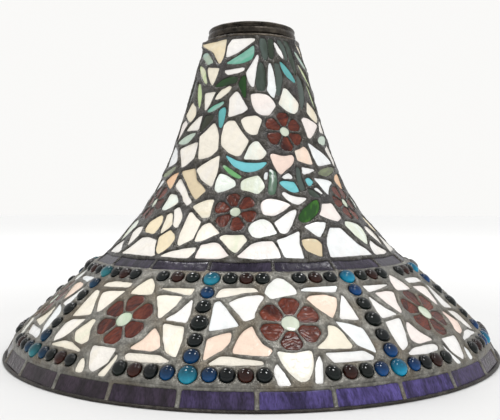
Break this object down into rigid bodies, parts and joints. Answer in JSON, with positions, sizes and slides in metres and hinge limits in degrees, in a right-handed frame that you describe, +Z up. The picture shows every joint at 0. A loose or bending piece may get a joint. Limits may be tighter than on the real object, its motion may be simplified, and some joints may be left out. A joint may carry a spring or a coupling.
{
  "type": "leaded glass lampshade",
  "caption": "Flared bell-shaped leaded-glass lampshade with flower panels, cast glass jewels and a top ring with a spider.",
  "frame": {"origin": "centre of the circle that the rim stands on, at the bottom of the bounding box", "axes": "+Z up along the shade's axis of revolution; -Y towards the side with the panel shown in front"},
  "size_m": [0.4585, 0.4586, 0.303],
  "materials": {
    "ring": "dark bronze patina over turned brass, worn along its beads",
    "spider_brass": "dull raw brass",
    "lead": "soldered lead came and foil seams with a dark grey-brown patina; stands in for lead-tin solder",
    "white_glass": "white opalescent sheet glass, faint streaks, glossy face",
    "petal_glass": "cream to peach opalescent sheet glass",
    "ruby_glass": "rippled dark ruby cathedral glass",
    "border_glass": "streaky violet glass, streaks upright",
    "waist_glass": "very dark violet glass",
    "dark_green_glass": "dark green glass",
    "turquoise_glass": "opalescent turquoise to teal glass",
    "green_glass": "mottled green glass, from lime to sage",
    "centre_glass": "pale green opalescent glass",
    "black_jewel": "glossy cast cabochon, black-green",
    "brown_jewel": "glossy cast cabochon, brown-red",
    "blue_jewel": "glossy cast cabochon, deep to bright blue",
    "teal_jewel": "glossy cast cabochon, teal to bright blue"
  },
  "bodies": {
    "root": {"top_ring": "ring", "spider": "spider_brass", "bottom_rim": "lead", "border_leadwork": "lead", "skirt_leadwork_1": "lead", "skirt_leadwork_2": "lead", "skirt_leadwork_3": "lead", "skirt_leadwork_4": "lead", "skirt_leadwork_5": "lead", "skirt_leadwork_6": "lead", "skirt_leadwork_7": "lead", "skirt_leadwork_8": "lead", "skirt_leadwork_9": "lead", "neck_leadwork_1": "lead", "neck_leadwork_2": "lead", "neck_leadwork_3": "lead", "skirt_background_glass_1": "white_glass", "skirt_background_glass_2": "white_glass", "skirt_background_glass_3": "white_glass", "skirt_background_glass_4": "white_glass", "skirt_background_glass_5": "white_glass", "skirt_background_glass_6": "white_glass", "skirt_background_glass_7": "white_glass", "skirt_background_glass_8": "white_glass", "skirt_background_glass_9": "white_glass", "skirt_petals_1": "petal_glass", "skirt_petals_2": "petal_glass", "skirt_petals_3": "petal_glass", "skirt_petals_4": "petal_glass", "skirt_petals_5": "petal_glass", "skirt_petals_6": "petal_glass", "skirt_petals_7": "petal_glass", "skirt_petals_8": "petal_glass", "skirt_petals_9": "petal_glass", "skirt_ruby_1": "ruby_glass", "skirt_ruby_2": "ruby_glass", "skirt_ruby_3": "ruby_glass", "skirt_ruby_4": "ruby_glass", "skirt_ruby_5": "ruby_glass", "skirt_ruby_6": "ruby_glass", "skirt_ruby_7": "ruby_glass", "skirt_ruby_8": "ruby_glass", "skirt_ruby_9": "ruby_glass", "neck_background_glass_1": "white_glass", "neck_background_glass_2": "white_glass", "neck_background_glass_3": "white_glass", "neck_petals_1": "petal_glass", "neck_petals_2": "petal_glass", "neck_petals_3": "petal_glass", "border_glass": "border_glass", "waist_glass": "waist_glass", "neck_ruby": "ruby_glass", "neck_dark_leaves": "dark_green_glass", "neck_turquoise_leaves": "turquoise_glass", "neck_green_leaves": "green_glass", "flower_centres": "centre_glass", "black_jewels": "black_jewel", "brown_jewels": "brown_jewel", "blue_jewels": "blue_jewel", "teal_jewels": "teal_jewel"}
  },
  "joints": []
}
